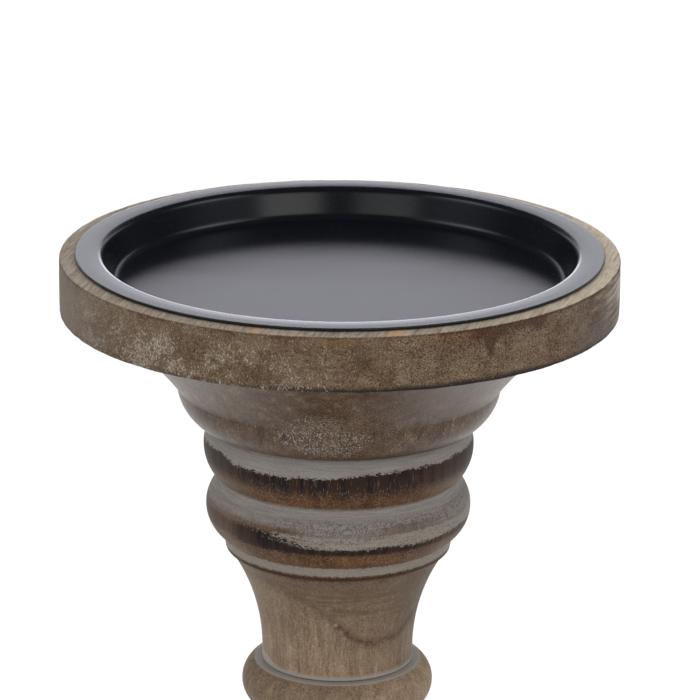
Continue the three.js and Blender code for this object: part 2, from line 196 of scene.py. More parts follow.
# Finishes
PLATE_GRAIN_DEGREES = 15  # from straight back towards the right
LOWER_TURN = 130  # degrees that the finishes of the lower pieces are turned by
LOWER_GROOVES = ((186.4, 189.0), (84.4, 86.0))  # heights where the lower stem's fillets keep some paint
DISH_BLACK = (0.0022, 0.0032, 0.005, 1)
DISH_DUST = (0.05, 0.052, 0.056, 1)
DISH_ROUGHNESS = 0.23
ZINC_BRIGHT = (0.62, 0.62, 0.6, 1)
ZINC_DULL = (0.42, 0.42, 0.41, 1)


# Heights, read from the CAD nodes

def lowest(node):
    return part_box(node)[0][2] / MM


def highest(node):
    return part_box(node)[1][2] / MM


plate_bottom = lowest("top_plate")
plate_top = highest("top_plate")
recess_floor = plate_top - RECESS_DEPTH
flare_bottom = lowest("flare_collar")
flare_top = plate_bottom - GLUE_LINE
stem_top = flare_bottom - GLUE_LINE
neck_bottom = lowest("upper_stem")
vase_top = neck_bottom - GLUE_LINE
foot_top = highest("base_collar")
vase_bottom = foot_top + GLUE_LINE
base_bottom = lowest("base_plate")
base_top = highest("base_plate")
foot_bottom = base_top + GLUE_LINE


# Outlines, as lists of (radius, height) or (radius, height, ease)

def bow(start, end, bulge, steps=CURVE_STEPS):
    """An arc between two points, with its middle `bulge` outwards from the straight line."""
    across = end[0] - start[0]
    up = end[1] - start[1]
    chord = math.hypot(across, up)
    half_angle = 2 * math.atan(2 * bulge / chord)
    radius = chord / 2 / math.sin(half_angle)
    points = []
    for i in range(steps + 1):
        angle = half_angle * (2 * i / steps - 1)
        along = 0.5 + radius * math.sin(angle) / chord
        outwards = (bulge - radius * (1 - math.cos(angle))) / chord
        points.append((
            start[0] + across * along + up * outwards,
            start[1] + up * along - across * outwards,
        ))
    return points


def ogee(start, end, steps=2 * CURVE_STEPS):
    """An S-curve that is upright at both ends."""
    points = []
    for i in range(steps + 1):
        share = i / steps
        across = (1 - math.cos(math.pi * share)) / 2
        points.append((start[0] + (end[0] - start[0]) * across, start[1] + (end[1] - start[1]) * share))
    return points


def arc(centre, radius, start_degrees, end_degrees, steps=8):
    points = []
    for i in range(steps + 1):
        angle = math.radians(start_degrees + (end_degrees - start_degrees) * i / steps)
        points.append((centre[0] + radius * math.cos(angle), centre[1] + radius * math.sin(angle)))
    return points


def raised(outline, height):
    return [(p[0], p[1] + height, *p[2:]) for p in outline]


def upended(outline, height):
    return [(p[0], height - p[1], *p[2:]) for p in reversed(outline)]


def eased(outline):
    """Rounds each corner that has an ease: how far from the corner its curve starts."""
    points = []
    for i, corner in enumerate(outline):
        if len(corner) == 2:
            points.append(corner)
            continue
        before = outline[i - 1]
        after = outline[(i + 1) % len(outline)]
        ends = []
        for side in (before, after):
            share = min(0.45, corner[2] / math.dist(corner[:2], side[:2]))
            ends.append([corner[k] + (side[k] - corner[k]) * share for k in (0, 1)])
        for step in range(CORNER_STEPS + 1):
            t = step / CORNER_STEPS
            points.append(tuple(
                (1 - t) ** 2 * ends[0][k] + 2 * t * (1 - t) * corner[k] + t ** 2 * ends[1][k]
                for k in (0, 1)
            ))
    return points


# Work with Blender's tools

def deselect_all():
    bpy.ops.object.select_all(action="DESELECT")


def pick(piece):
    deselect_all()
    piece.select_set(True)
    bpy.context.view_layer.objects.active = piece


def start_vertex(name, place):
    """A mesh of one vertex, from a small plane merged to its middle."""
    deselect_all()
    bpy.ops.mesh.primitive_plane_add(size=MM)
    piece = bpy.context.object
    piece.name = name
    bpy.ops.object.mode_set(mode="EDIT")
    bpy.ops.mesh.select_all(action="SELECT")
    bpy.ops.mesh.merge(type="CENTER")
    bpy.ops.transform.translate(value=place)
    return piece


def draw_outline(name, outline):
    """Extrudes the start vertex from point to point, and leaves the wire in edit mode."""
    piece = start_vertex(name, (outline[0][0] * MM, 0, outline[0][1] * MM))
    for last, point in zip(outline, outline[1:]):
        step = ((point[0] - last[0]) * MM, 0, (point[1] - last[1]) * MM)
        bpy.ops.mesh.extrude_vertices_move(TRANSFORM_OT_translate={"value": step})
    return piece


def close_seams():
    bpy.ops.object.mode_set(mode="EDIT")
    bpy.ops.mesh.select_all(action="SELECT")
    bpy.ops.mesh.remove_doubles(threshold=MERGE_DISTANCE * MM)
    bpy.ops.mesh.normals_make_consistent(inside=False)
    bpy.ops.object.mode_set(mode="OBJECT")


def smooth(piece):
    pick(piece)
    bpy.ops.object.shade_smooth_by_angle(angle=CREASE)


def turned(name, outline, steps):
    """Turns an outline round the stem's axis. One that starts off the axis is closed on itself."""
    points = eased(outline)
    if points[0][0] > 0:
        points.append(points[0])
    points = [p for i, p in enumerate(points) if i == 0 or math.dist(p, points[i - 1]) > 0.003]
    piece = draw_outline(name, points)
    bpy.ops.object.mode_set(mode="OBJECT")
    apply_modifier(
        piece, "SCREW", axis="Z", angle=2 * math.pi, screw_offset=0, steps=steps, render_steps=steps,
        use_merge_vertices=True, merge_threshold=MERGE_DISTANCE * MM,
    )
    close_seams()
    smooth(piece)
    return piece


def apply_modifier(piece, kind, **settings):
    pick(piece)
    modifier = piece.modifiers.new(kind.lower(), kind)
    for name, value in settings.items():
        setattr(modifier, name, value)
    bpy.ops.object.modifier_apply(modifier=modifier.name)


def weighted_group(piece, name, weight_at):
    """A vertex group whose weight follows the radius and the height in millimetres."""
    group = piece.vertex_groups.new(name=name)
    for vertex in piece.data.vertices:
        weight = weight_at(math.hypot(vertex.co.x, vertex.co.y) / MM, vertex.co.z / MM)
        if weight > 0:
            group.add([vertex.index], weight, "REPLACE")
    return group


def wear(piece, grain_and_depth, weight_at):
    """Eats unevenly into the surface, never out of it."""
    grain_size, depth = grain_and_depth
    clouds = bpy.data.textures.new(piece.name + "_wear", "CLOUDS")
    clouds.noise_scale = grain_size * MM
    clouds.noise_depth = 2
    group = weighted_group(piece, "wear", weight_at)
    apply_modifier(
        piece, "DISPLACE", texture=clouds, texture_coords="LOCAL", strength=depth * MM,
        mid_level=1.0, vertex_group=group.name,
    )
    piece.vertex_groups.remove(piece.vertex_groups["wear"])


def cut_away(piece, cutter):
    apply_modifier(piece, "BOOLEAN", operation="DIFFERENCE", object=cutter, solver="EXACT")
    bpy.data.objects.remove(cutter)


def copied(piece, name, move):
    """A copy whose own mesh is moved by `move` metres."""
    twin = piece.copy()
    twin.data = piece.data.copy()
    twin.name = name
    bpy.context.scene.collection.objects.link(twin)
    twin.data.transform(Matrix.Translation(move))
    return twin


def fitted(piece, node, body):
    piece.name = piece.data.name = node + "_finished"
    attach(piece, body)
    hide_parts(node)
    return piece


# Turned wood

def flare_outline():
    lip = (FLARE_LIP_RADIUS, FLARE_LIP_HEIGHT)
    height = flare_top - flare_bottom
    return [
        (FLARE_END_RADIUS, 0, TURNED_EDGE),
        *bow((FLARE_END_RADIUS, 0), lip, FLARE_LIP_BULGE)[1:-1],
        (*lip, TURNED_EDGE),
        *bow(lip, (FLARE_RADIUS, height), -FLARE_HOLLOW)[1:-1],
        (FLARE_RADIUS, height, TURNED_EDGE),
    ]


def bead_outline():
    """The step and its two beads, going up to the collar at height 0."""
    valley = (VALLEY_RADIUS, -FIRST_BEAD_HEIGHT)
    step = (STEP_RADIUS, -FIRST_BEAD_HEIGHT - SECOND_BEAD_HEIGHT)
    return [
        (STEP_RADIUS - STEP_TAPER, step[1] - STEP_HEIGHT, TURNED_EDGE),
        (*step, TURNED_EDGE / 2),
        *bow(step, valley, SECOND_BEAD_BULGE)[1:-1],
        (*valley, TURNED_EDGE / 2),
        *bow(valley, (BEAD_SHOULDER_RADIUS, 0), FIRST_BEAD_BULGE)[1:-1],
        (BEAD_SHOULDER_RADIUS, 0, TURNED_EDGE),
    ]


def top_plate():
    socket = COLLAR_TENON_RADIUS + TENON_CLEARANCE
    plate = turned("plate", [
        (socket, plate_bottom),
        (PLATE_RADIUS - 3 * PLATE_EDGE, plate_bottom),
        (PLATE_RADIUS, plate_bottom, PLATE_LOWER_EDGE),
        *[(PLATE_RADIUS, plate_bottom + k) for k in range(2, 12)],
        (PLATE_RADIUS, plate_top, PLATE_EDGE),
        (PLATE_RADIUS - 3 * PLATE_EDGE, plate_top),
        (RECESS_RADIUS, plate_top, RECESS_EDGE),
        (RECESS_RADIUS, recess_floor, RECESS_CORNER),
        (RECESS_RADIUS - 8, recess_floor),
        (socket, recess_floor),
    ], DISC_STEPS)
    cut_away(plate, screw_cutter())
    middle = (plate_bottom + plate_top) / 2
    half = (plate_top - plate_bottom) / 2

    def edge_weight(radius, height):
        """None in the recess, little on the side and most near the top and the bottom."""
        if radius < RECESS_RADIUS + 2:
            return 0
        return 0.35 + 0.65 * max(0, abs(height - middle) / half - 0.6) / 0.4

    wear(plate, PLATE_WEAR, edge_weight)
    smooth(plate)
    return fitted(plate, "top_plate", "holder")


def screw_cutter():
    """Three countersunk holes, drilled down through the floor of the recess."""
    top = recess_floor - SCREW_SUNK
    shank = SCREW_RADIUS + TENON_CLEARANCE
    head = SCREW_HEAD_RADIUS + TENON_CLEARANCE
    drill = turned("drill", [
        (0, plate_bottom - DRILL_OVERRUN),
        (shank, plate_bottom - DRILL_OVERRUN),
        (shank, top - SCREW_HEAD_HEIGHT),
        (head, top),
        (head, recess_floor + DRILL_OVERRUN),
        (0, recess_floor + DRILL_OVERRUN),
    ], SMALL_STEPS)
    holes = [copied(drill, "hole", place) for place in screw_places()]
    bpy.data.objects.remove(drill)
    pick(holes[0])
    for hole in holes[1:]:
        hole.select_set(True)
    bpy.ops.object.join()
    return holes[0]


def screw_places():
    radius = SCREW_CIRCLE_RADIUS * MM
    angles = [math.radians(degrees) for degrees in SCREW_DEGREES]
    return [(radius * math.cos(angle), radius * math.sin(angle), 0) for angle in angles]


def flare_collar():
    tenon_top = highest("flare_collar")
    pocket_floor = lowest("top_washer") - GLUE_LINE
    stem_socket = STEM_TENON_RADIUS + TENON_CLEARANCE
    socket_top = highest("upper_stem") + TENON_END_GAP
    collar = turned("collar", [
        (stem_socket, flare_bottom),
        *raised(flare_outline(), flare_bottom),
        (COLLAR_TENON_RADIUS, flare_top),
        (COLLAR_TENON_RADIUS, tenon_top, TURNED_EDGE),
        (POCKET_RADIUS, tenon_top, TURNED_EDGE),
        (POCKET_RADIUS, pocket_floor, TURNED_EDGE),
        (BORE_RADIUS, pocket_floor),
        (BORE_RADIUS, socket_top),
        (stem_socket, socket_top),
    ], STEM_STEPS)
    return fitted(collar, "flare_collar", "holder")


def upper_stem():
    neck_top = stem_top - BEADS_HEIGHT
    tenon_top = highest("upper_stem")
    neck_socket = NECK_TENON_RADIUS + TENON_CLEARANCE
    socket_top = highest("lower_stem") + TENON_END_GAP
    stem = turned("stem", [
        (neck_socket, neck_bottom),
        (NECK_RADIUS, neck_bottom, TURNED_EDGE),
        *bow((NECK_RADIUS, neck_bottom), (UNDERCUT_RADIUS, neck_top), -NECK_HOLLOW, 2 * CURVE_STEPS)[1:],
        *raised(bead_outline(), stem_top),
        (STEM_TENON_RADIUS, stem_top),
        (STEM_TENON_RADIUS, tenon_top, TURNED_EDGE),
        (BORE_RADIUS, tenon_top),
        (BORE_RADIUS, socket_top),
        (neck_socket, socket_top),
    ], STEM_STEPS)
    return fitted(stem, "upper_stem", "holder")


def lower_stem():
    cove_bottom = vase_bottom + BEADS_HEIGHT
    foot = (VASE_FOOT_RADIUS, cove_bottom + COVE_HEIGHT)
    belly = (BELLY_RADIUS, foot[1] + BELLY_RISE)
    neck = (VASE_NECK_RADIUS, belly[1] + VASE_TAPER_HEIGHT)
    fillet_bottom = neck[1] + NECK_COVE_HEIGHT
    ring_bottom = fillet_bottom + FILLET_HEIGHT
    tenon_bottom = lowest("lower_stem")
    tenon_top = highest("lower_stem")
    stem = turned("stem", [
        (BORE_RADIUS, tenon_bottom),
        (STEM_TENON_RADIUS, tenon_bottom),
        (STEM_TENON_RADIUS, vase_bottom),
        *upended(bead_outline(), vase_bottom),
        *bow((UNDERCUT_RADIUS, cove_bottom), foot, -COVE_HOLLOW)[:-1],
        (*foot, TURNED_EDGE),
        *bow(foot, belly, BELLY_BULGE)[1:-1],
        *ogee(belly, neck),
        *bow(neck, (FILLET_RADIUS, fillet_bottom), -NECK_COVE_HOLLOW)[1:-1],
        (FILLET_RADIUS, fillet_bottom, TURNED_EDGE),
        (FILLET_RADIUS, ring_bottom),
        *bow((RING_SHOULDER_RADIUS, ring_bottom), (RING_SHOULDER_RADIUS, vase_top), RING_BULGE)[:-1],
        (RING_SHOULDER_RADIUS, vase_top, TURNED_EDGE),
        (NECK_TENON_RADIUS, vase_top),
        (NECK_TENON_RADIUS, tenon_top),
        (BORE_RADIUS, tenon_top),
    ], STEM_STEPS)
    return fitted(stem, "lower_stem", "holder")


def base_collar():
    tenon_bottom = lowest("base_collar")
    stem_socket = STEM_TENON_RADIUS + TENON_CLEARANCE
    socket_floor = lowest("lower_stem") - TENON_END_GAP
    collar = turned("collar", [
        (BORE_RADIUS, tenon_bottom),
        (COLLAR_TENON_RADIUS, tenon_bottom),
        (COLLAR_TENON_RADIUS, foot_bottom),
        *upended(flare_outline(), foot_top),
        (stem_socket, foot_top),
        (stem_socket, socket_floor),
        (BORE_RADIUS, socket_floor),
    ], STEM_STEPS)
    return fitted(collar, "base_collar", "holder")


def base_plate():
    socket = COLLAR_TENON_RADIUS + TENON_CLEARANCE
    socket_floor = lowest("base_collar") - TENON_END_GAP
    ceiling = highest("bottom_washer") + GLUE_LINE
    shoulder = (PLATE_RADIUS - BASE_SHOULDER, base_top - BASE_SHOULDER)
    plate = turned("plate", [
        (POCKET_RADIUS, base_bottom, TURNED_EDGE),
        (PLATE_RADIUS - 4 * BASE_FOOT_EDGE, base_bottom),
        (PLATE_RADIUS, base_bottom, BASE_FOOT_EDGE),
        (PLATE_RADIUS, base_bottom + 4 * BASE_FOOT_EDGE),
        *arc(shoulder, BASE_SHOULDER, 0, 90),
        (socket, base_top),
        (socket, socket_floor),
        (BORE_RADIUS, socket_floor),
        (BORE_RADIUS, ceiling),
        (POCKET_RADIUS, ceiling, TURNED_EDGE),
    ], STEM_STEPS)
    return fitted(plate, "base_plate", "holder")


# Steel dish

def candle_dish():
    """Spun from sheet: the wall is the line that touches both bends."""
    rim_top = highest("candle_dish")
    underside = lowest("candle_dish")
    floor = underside + SHEET
    rim_centre = (RIM_INNER_RADIUS, rim_top - RIM_BEND)
    floor_centre = (FLOOR_RADIUS, floor + FLOOR_BEND)
    across = rim_centre[0] - floor_centre[0]
    up = rim_centre[1] - floor_centre[1]
    crossing = math.asin((RIM_BEND + FLOOR_BEND) / math.hypot(across, up))
    wall = math.degrees(math.atan2(up, across) + crossing)
    floor_rings = [(share * FLOOR_RADIUS, floor) for share in (0, 0.25, 0.5, 0.75, 0.9, 0.99)]
    floor_bend = arc(floor_centre, FLOOR_BEND, -90, wall - 90)
    rim_bend = raised(arc(rim_centre, RIM_BEND, wall + 90, 90), -RIM_DROOP)
    # Rings close to the bends keep the flat parts between them looking flat
    wall_foot, wall_top = floor_bend[-1], rim_bend[0]
    wall_rings = [
        tuple(foot + share * (top - foot) for foot, top in zip(wall_foot, wall_top))
        for share in (0.1, 0.9)
    ]
    rim_rings = [(RIM_LEVEL_RADIUS, rim_top), (RIM_RADIUS - 2 * RIM_EDGE, rim_top)]
    inside = [*floor_rings, *floor_bend, *wall_rings, *rim_bend, *rim_rings]
    outside = [
        (0, underside),
        *arc(floor_centre, FLOOR_BEND + SHEET, -90, wall - 90),
        *arc(rim_centre, RIM_BEND - SHEET, wall + 90, 90),
        (RIM_RADIUS, rim_top - SHEET, RIM_EDGE),
        (RIM_RADIUS, rim_top, RIM_EDGE),
    ]
    dish = turned("dish", [*outside, *reversed(inside)], STEM_STEPS)
    return fitted(dish, "candle_dish", "dish")


# Hardware

def wind_thread(core, tooth, pitch, turns):
    """Winds one tooth up round the core with the Screw modifier, and joins the two."""
    thread = draw_outline("thread", tooth)
    bpy.ops.mesh.select_all(action="SELECT")
    bpy.ops.mesh.edge_face_add()
    bpy.ops.object.mode_set(mode="OBJECT")
    apply_modifier(
        thread, "SCREW", axis="Z", angle=2 * math.pi, screw_offset=pitch * MM, iterations=turns,
        steps=THREAD_STEPS, render_steps=THREAD_STEPS, use_merge_vertices=False,
    )
    close_seams()
    pick(core)
    thread.select_set(True)
    bpy.ops.object.join()
    smooth(core)


def threaded_rod():
    """An M6 rod: a turned core with a thread wound round it."""
    bottom = lowest("tie_rod")
    top = highest("tie_rod")
    root = ROD_RADIUS - THREAD_DEPTH
    core = turned("core", [
        (0, bottom),
        (root - 0.3, bottom),
        (root + 0.05, bottom + ROD_CHAMFER),
        (root + 0.05, top - ROD_CHAMFER),
        (root - 0.3, top),
        (0, top),
    ], SMALL_STEPS)
    middle = bottom + ROD_CHAMFER
    half = THREAD_PITCH / 2
    wind_thread(core, [
        (root - THREAD_SUNK, middle - half + 0.02),
        (root, middle - half + 0.05),
        (ROD_RADIUS - 0.05, middle - 0.06),
        (ROD_RADIUS - 0.05, middle + 0.06),
        (root, middle + half - 0.05),
        (root - THREAD_SUNK, middle + half - 0.02),
    ], THREAD_PITCH, int(top - bottom - 2 * ROD_CHAMFER))
    return fitted(core, "tie_rod", "holder")


def hex_nut(node):
    """Six flats from a six-sided bar, with its corners turned off at both ends."""
    bottom = lowest(node)
    top = highest(node)
    flat = NUT_ACROSS_FLATS / 2
    corner = flat / math.cos(math.pi / 6)
    hole = ROD_RADIUS + TENON_CLEARANCE
    deselect_all()
    bpy.ops.mesh.primitive_cylinder_add(
        vertices=6, radius=corner * MM, depth=(top - bottom) * MM,
        location=(0, 0, (bottom + top) / 2 * MM), rotation=(0, 0, math.pi / 2),
    )
    nut = bpy.context.object
    bpy.ops.object.transform_apply(location=True, rotation=True, scale=True)
    blank = turned("blank", [
        (hole, bottom + NUT_THREAD_CHAMFER),
        (hole + NUT_THREAD_CHAMFER, bottom),
        (flat - 0.2, bottom),
        (corner + 0.1, bottom + NUT_CORNER_DROP),
        (corner + 0.1, top - NUT_CORNER_DROP),
        (flat - 0.2, top),
        (hole + NUT_THREAD_CHAMFER, top),
        (hole, top - NUT_THREAD_CHAMFER),
    ], SMALL_STEPS)
    apply_modifier(nut, "BOOLEAN", operation="INTERSECT", object=blank, solver="EXACT")
    bpy.data.objects.remove(blank)
    apply_modifier(
        nut, "BEVEL", width=NUT_BEVEL * MM, segments=2, limit_method="ANGLE", angle_limit=NUT_BEVEL_ANGLE,
    )
    smooth(nut)
    return fitted(nut, node, "holder")


def washer(node):
    bottom = lowest(node)
    top = highest(node)
    hole = ROD_RADIUS + TENON_CLEARANCE
    ring = turned("washer", [
        (hole, bottom, WASHER_EDGE / 2),
        (WASHER_RADIUS, bottom, WASHER_EDGE / 2),
        (WASHER_RADIUS, top, WASHER_EDGE),
        (hole, top, WASHER_EDGE),
    ], SMALL_STEPS * 2)
    return fitted(ring, node, "holder")


def plate_screws():
    """A countersunk wood screw, modelled once and copied to its three holes."""
    top = highest("plate_screw_1")
    tip = lowest("plate_screw_1")
    root = SCREW_RADIUS - THREAD_DEPTH
    under_head = top - SCREW_HEAD_HEIGHT
    thread_top = under_head - SCREW_SHANK_LENGTH - SCREW_SHANK_TAPER
    screw = turned("screw", [
        (0, tip),
        (root, tip + SCREW_TIP),
        (root, thread_top),
        (SCREW_SHANK_RADIUS, under_head - SCREW_SHANK_LENGTH),
        (SCREW_SHANK_RADIUS, under_head),
        (SCREW_HEAD_RADIUS, top - 0.15, 0.1),
        (SCREW_HEAD_RADIUS - 0.15, top, 0.1),
        (0, top),
    ], SMALL_STEPS)
    bpy.ops.mesh.primitive_cube_add(size=1, location=(0, 0, top * MM))
    slot = bpy.context.object
    length, width, depth = SCREW_SLOT
    slot.scale = (length * MM, width * MM, 2 * depth * MM)
    bpy.ops.object.transform_apply(location=True, rotation=True, scale=True)
    cross = copied(slot, "cross", (0, 0, 0))
    cross.data.transform(Matrix.Rotation(math.pi / 2, 4, "Z"))
    cut_away(screw, slot)
    cut_away(screw, cross)
    thread_bottom = tip + SCREW_TIP
    wind_thread(screw, [
        (root - THREAD_SUNK, thread_bottom - 0.35),
        (SCREW_RADIUS, thread_bottom),
        (root - THREAD_SUNK, thread_bottom + 0.2),
    ], SCREW_THREAD_PITCH, int((thread_top - thread_bottom) / SCREW_THREAD_PITCH))
    screws = []
    for i, place in enumerate(screw_places()):
        twin = copied(screw, "screw", place)
        screws.append(fitted(twin, f"plate_screw_{i + 1}", "holder"))
    bpy.data.objects.remove(screw)
    return screws


def felt_pads():
    """One punched disc of felt with softened edges, copied under the base."""
    thickness = highest("felt_pad_1") - lowest("felt_pad_1")
    rings = [(share * FELT_RADIUS, thickness) for share in (0.9, 0.6, 0.3, 0)]
    pad = turned("pad", [
        (0, 0),
        (FELT_RADIUS * 0.5, 0),
        (FELT_RADIUS, 0, FELT_EDGE),
        (FELT_RADIUS, thickness, FELT_EDGE),
        *rings,
    ], SMALL_STEPS * 2)
    wear(pad, FELT_WEAR, lambda radius, height: min(1, max(0, radius / FELT_RADIUS - 0.6) * 2.5))
    smooth(pad)
    pads = []
    for i in range(FELT_COUNT):
        node = f"felt_pad_{i + 1}"
        low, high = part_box(node)
        middle = ((low[0] + high[0]) / 2, (low[1] + high[1]) / 2, low[2])
        pads.append(fitted(copied(pad, "pad", middle), node, "holder"))
    bpy.data.objects.remove(pad)
    return pads


plate = top_plate()
flare = flare_collar()
neck = upper_stem()
vase = lower_stem()
foot = base_collar()
base = base_plate()
dish = candle_dish()
hardware = [threaded_rod()]
for end in ("top", "bottom"):
    hardware += [hex_nut(end + "_nut"), washer(end + "_washer")]
hardware += plate_screws()
pads = felt_pads()


# Finishes

def tone(red, green, blue):
    """A finish's own colour, from how it looks in the studio's light, 0 to 255."""
    shares = []
    for level in (red, green, blue):
        seen = level / 255
        light = seen / 12.92 if seen <= 0.04045 else ((seen + 0.055) / 1.055) ** 2.4
        shares.append(max(0.003, (light - STUDIO_SHEEN) / STUDIO_LEVEL))
    return (*shares, 1)


class Signal:
    """A value that varies over a surface. A sum or product of it adds a Math node to its recipe."""

    def __init__(self, recipe, socket):
        self.recipe = recipe
        self.socket = socket

    def __add__(self, other):
        return self.recipe.maths("ADD", self, other)

    def __sub__(self, other):
        return self.recipe.maths("SUBTRACT", self, other)

    def __rsub__(self, other):
        return self.recipe.maths("SUBTRACT", other, self)

    def __mul__(self, other):
        return self.recipe.maths("MULTIPLY", self, other)

    __radd__ = __add__
    __rmul__ = __mul__


class Recipe:
    """The nodes of a material or of the studio's light."""

    def __init__(self, tree):
        self.tree = tree

    def add(self, kind, settings, sockets, output=0):
        """One node: its settings first, then a value or a signal for each socket."""
        node = self.tree.nodes.new(kind)
        for name, value in settings.items():
            if name == "stops":
                self.set_stops(node.color_ramp.elements, value)
            else:
                setattr(node, name, value)
        for name, value in sockets.items():
            self.feed(node.inputs[name], value)
        return Signal(self, node.outputs[output])

    def feed(self, socket, value):
        if isinstance(value, Signal):
            self.tree.links.new(value.socket, socket)
        else:
            socket.default_value = value

    def set_stops(self, elements, stops):
        while len(elements) < len(stops):
            elements.new(1.0)
        for element, (share, colour) in zip(elements, stops):
            element.position = share
            element.color = colour

    def maths(self, operation, first, second=0.0):
        return self.add("ShaderNodeMath", {"operation": operation}, {0: first, 1: second})

    def rise(self, value, low, high):
        """0 below `low`, 1 above `high`, with a smooth rise between them."""
        sockets = {"Value": value, "From Min": low, "From Max": high}
        return self.add("ShaderNodeMapRange", {"interpolation_type": "SMOOTHSTEP"}, sockets)

    def between(self, value, low, high, soft):
        """1 from `low` to `high`, with soft ends."""
        return self.rise(value, low - soft, low + soft) * (1 - self.rise(value, high - soft, high + soft))

    def laid(self, under, over, cover):
        """One colour laid over another where `cover` says so."""
        return self.add("ShaderNodeMix", {"data_type": "RGBA"}, {0: cover, 6: under, 7: over}, 2)

    def scaled(self, vector, amount):
        return self.add("ShaderNodeVectorMath", {"operation": "SCALE"}, {"Vector": vector, "Scale": amount})

    def rotated(self, place, *degrees):
        """The place, turned by so many degrees about x, y and z."""
        rotation = [math.radians(turn) for turn in degrees]
        return self.add("ShaderNodeMapping", {}, {"Vector": place, "Rotation": rotation})

    def part(self, vector, axis):
        return self.add("ShaderNodeSeparateXYZ", {}, {"Vector": vector}, axis)

    def ramp(self, share, stops):
        return self.add("ShaderNodeValToRGB", {"stops": stops}, {"Fac": share})

    def stretched(self, place, sizes):
        """The place, counted in grains of this size in millimetres along x, y and z."""
        counts = tuple(1 / size for size in sizes)
        return self.add("ShaderNodeVectorMath", {"operation": "MULTIPLY"}, {0: place, 1: counts})

    def clouds(self, place, detail, coarse, warp=0.0):
        """Noise from 0 to 1, mostly between 0.3 and 0.7."""
        sockets = {"Vector": place, "Scale": 1.0, "Detail": detail, "Roughness": coarse, "Distortion": warp}
        return self.add("ShaderNodeTexNoise", {}, sockets)


class Finish(Recipe):
    """A material as it is made up, with its place on the piece in millimetres and its colour so far."""

    def __init__(self, name, metallic=0.0, sheen=0.5, turn=0):
        self.material = bpy.data.materials.new(name)
        self.material.use_nodes = True
        super().__init__(self.material.node_tree)
        self.shader = self.tree.nodes["Principled BSDF"]
        self.give("Metallic", metallic)
        self.give("Specular IOR Level", sheen)
        metres = self.add("ShaderNodeTexCoord", {}, {}, "Object")
        self.place = self.scaled(metres, 1 / MM)
        turned_place = self.rotated(self.place, 0, 0, turn)
        self.x = self.part(turned_place, "X")
        self.y = self.part(turned_place, "Y")
        self.height = self.part(self.place, "Z")
        self.down = plate_top - self.height
        # 0 at the front and the back, 90 at the right and -90 at the left
        self.angle = self.maths("ARCTAN2", self.x, self.maths("ABSOLUTE", self.y)) * math.degrees(1)

    def blot(self, angle, width, along, middle, length, ragged):
        """A ragged patch: angle and half width in degrees, middle and half length in millimetres."""
        across = (self.angle - angle) * (1 / width)
        lengthways = (along - middle) * (1 / length)
        return 1 - self.rise(across * across + lengthways * lengthways + ragged, 0.5, 1.3)

    def grains(self, sizes, detail, coarse, warp=0.0):
        """Noise on the piece, with grains of these sizes in millimetres."""
        return self.clouds(self.stretched(self.place, sizes), detail, coarse, warp)

    def coat(self, over, cover):
        """Lays a colour over the colour so far where `cover` says so."""
        self.colour = self.laid(self.colour, over, cover)

    def give(self, socket, value):
        self.feed(self.shader.inputs[socket], value)

    def finished(self, roughness, relief, depth):
        """Feeds the shader. The relief goes from 0 to 1 and is this deep in millimetres."""
        self.give("Base Color", self.colour)
        self.give("Roughness", roughness)
        bump = {"Height": relief, "Distance": depth * MM}
        self.give("Normal", self.add("ShaderNodeBump", {}, bump, "Normal"))
        return self.material


def leaning_strokes(wood, degrees):
    """Noise drawn out into short strokes that lean from the upright."""
    leaning = wood.rotated(wood.place, 0, degrees, 0)
    return wood.clouds(wood.stretched(leaning, (0.26, 0.26, 0.9)), 2, 0.6)


def whitewash(wood, cluster):
    """Whitewash left in the pores: short strokes leaning both ways, thickest where `cluster` is 1."""
    strokes = wood.maths("MAXIMUM", leaning_strokes(wood, 32), leaning_strokes(wood, -26))
    return wood.rise(strokes + cluster * 0.09, 0.67, 0.72)


